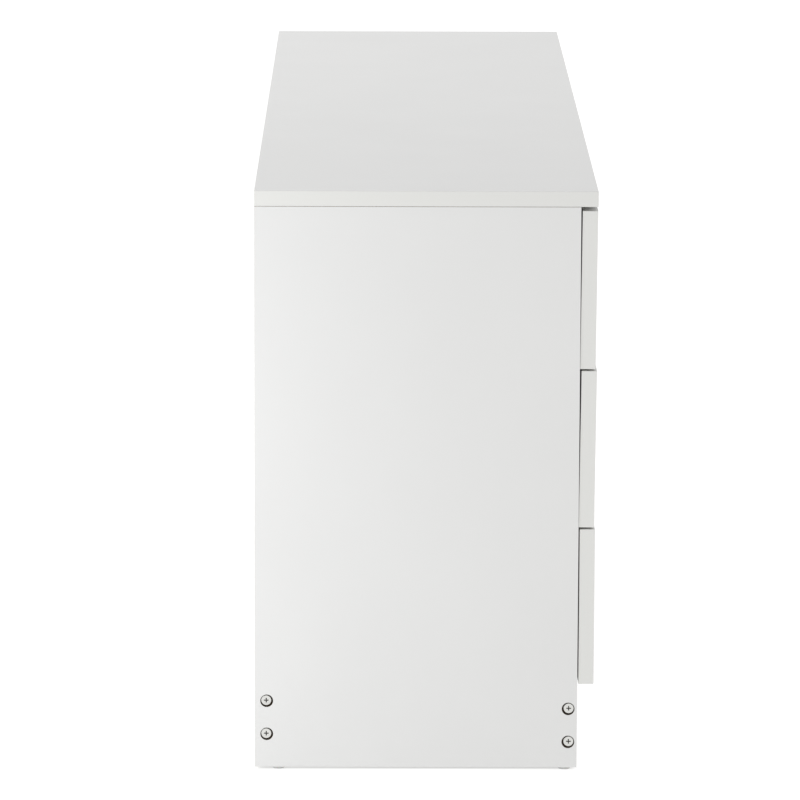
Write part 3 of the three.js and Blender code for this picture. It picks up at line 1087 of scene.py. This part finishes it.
# %% Back nails
NAIL_STEP = 120 * MM
NAIL_PROUD = 0.5 * MM
SEAM_INSET = 4.5 * MM      # from the seam between the sheets to the nails beside it
SIDE_STOP = 40 * MM        # the row below ends about this far from the sheet's outer edge
TOP_STOP = 30 * MM         # the row up the seam ends this far from its upper edge
nail = round_bar("nail", 1.6 * MM, (0, 0, 0), (0, -2 * MM, 0), 16)
round_edges(nail, 0.4 * MM, 2)
dress(nail, nickel)
bottom_low, bottom_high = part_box("bottom_panel")
for side, hand in (("left", -1), ("right", 1)):
    low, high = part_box(f"back_panel_{side}")
    face_y = high.y + NAIL_PROUD
    seam_x = hand * SEAM_INSET
    bottom_z = (bottom_low.z + bottom_high.z) / 2
    across = round((high.x - low.x - 2 * SIDE_STOP) / NAIL_STEP)
    up = round((high.z - bottom_z - 2 * TOP_STOP) / NAIL_STEP)
    places = [
        (seam_x + hand * (high.x - low.x - SIDE_STOP) * i / across, face_y, bottom_z, 1)
        for i in range(across + 1)
    ]
    places += [
        (seam_x, face_y, bottom_z + (high.z - bottom_z - TOP_STOP) * i / up, 1)
        for i in range(1, up + 1)
    ]
    place_group(nail, f"back_nails_{side}", "carcass", "screw_nickel", places)
    print(side, "back:", len(places), "nails")

# %% [markdown]
# The masters have done their work, and only the copies stay.

# %% Remove the masters
profiles_and_rollers = [channel, rail, front_roller, rear_roller]
fittings = [end_screw, small_screw, glide, large_cam, small_cam, nail]
for master in profiles_and_rollers + fittings:
    bpy.data.objects.remove(master)
print("only the copies stay")

# %% [markdown]
# The cabinet stands on a white floor that glows evenly, like a large light table, so the floor is
# bright and shadows are faint. The glow fades out just inside the cabinet's outline and is gone
# under it: a painted contact shadow, which leaves a thin grey line where the cabinet meets the
# floor. How far a point is inside the outline follows from its distances to the two middle lines.

# %% Floor
floor_with_painted_shadow, tree, shader, place = new_material(
    "white glowing floor with painted contact shadow",
    Base_Color=srgb("a6a6a5"),
    Roughness=0.9,
    Emission_Color=srgb("ffffff"),
)
FLOOR_GLOW = 0.76
FLOOR_SIZE = 80
PAINTED_SHADOW_FADE = 26 * MM
panel_low, panel_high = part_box("side_panel_left")
where = add_node(tree, "ShaderNodeSeparateXYZ", {"Vector": place})
sides = []
# The glow fades to nothing inside the cabinet's outline: painted contact shadow.
for axis, low, high in (("X", cad_low.x, cad_high.x), ("Y", panel_low.y, panel_high.y)):
    inputs = {0: where.outputs[axis], 1: (low + high) / 2}
    offset = add_node(tree, "ShaderNodeMath", inputs, operation="SUBTRACT").outputs["Value"]
    distance = add_node(tree, "ShaderNodeMath", {0: offset}, operation="ABSOLUTE")
    half = (high - low) / 2
    inputs = {"From Min": half - PAINTED_SHADOW_FADE, "From Max": half, "To Max": FLOOR_GLOW}
    inputs["Value"] = distance.outputs["Value"]
    sides.append(add_node(tree, "ShaderNodeMapRange", inputs).outputs["Result"])
glow = add_node(tree, "ShaderNodeMath", {0: sides[0], 1: sides[1]}, operation="MAXIMUM")
tree.links.new(glow.outputs["Value"], shader.inputs["Emission Strength"])
bpy.ops.object.select_all(action="DESELECT")
bpy.ops.mesh.primitive_plane_add(size=FLOOR_SIZE)
floor = named("floor")
dress(floor, floor_with_painted_shadow)
print("floor ready")

# %% [markdown]
# The studio round it is white at eye level, where the floor's far edge would show against it, and
# a little darker overhead, so that the top board doesn't burn out.

# %% Surround
world = bpy.data.worlds.new("white studio")
world.use_nodes = True
tree = world.node_tree
place = add_node(tree, "ShaderNodeTexCoord", {}).outputs["Generated"]
height = add_node(tree, "ShaderNodeSeparateXYZ", {"Vector": place}).outputs["Z"]
glow = add_node(
    tree,
    "ShaderNodeMapRange",
    {"Value": height, "From Min": 0.04, "From Max": 0.16, "To Min": 1.0, "To Max": 0.8},
)
tree.links.new(glow.outputs["Result"], tree.nodes["Background"].inputs["Strength"])
tree.nodes["Background"].inputs["Color"].default_value = (1, 1, 1, 1)
bpy.context.scene.world = world
bpy.context.scene.view_settings.view_transform = "Standard"
print("surround ready")

# %% [markdown]
# Two soft lamps shape it. A tall strip stands close to the left end's rear corner, so that the
# end panel fades from its rear edge to its front edge. A wide one hangs above and behind, and
# lights the top.

# %% Lamps
def soft_lamp(name, place, width, height, power, aim):
    lamp = bpy.data.objects.new(name, bpy.data.lights.new(name, "AREA"))
    lamp.data.shape = "RECTANGLE"
    lamp.data.size = width
    lamp.data.size_y = height
    lamp.data.energy = power
    lamp.location = place
    lamp.rotation_euler = (Vector(aim) - Vector(place)).to_track_quat("-Z", "Y").to_euler()
    lamp.visible_camera = False
    bpy.context.scene.collection.objects.link(lamp)
    return lamp


strip = soft_lamp("strip lamp", (-1.08, 0.56, 0.42), 0.3, 0.84, 1.35, (-0.8, 0.2, 0.38))
strip.data.color = (0.97, 0.98, 1)
soft_lamp("overhead lamp", (0.8, 1.4, 2.6), 2.2, 2.2, 22, (0.2, 0, 0.6))
print("lamps ready")
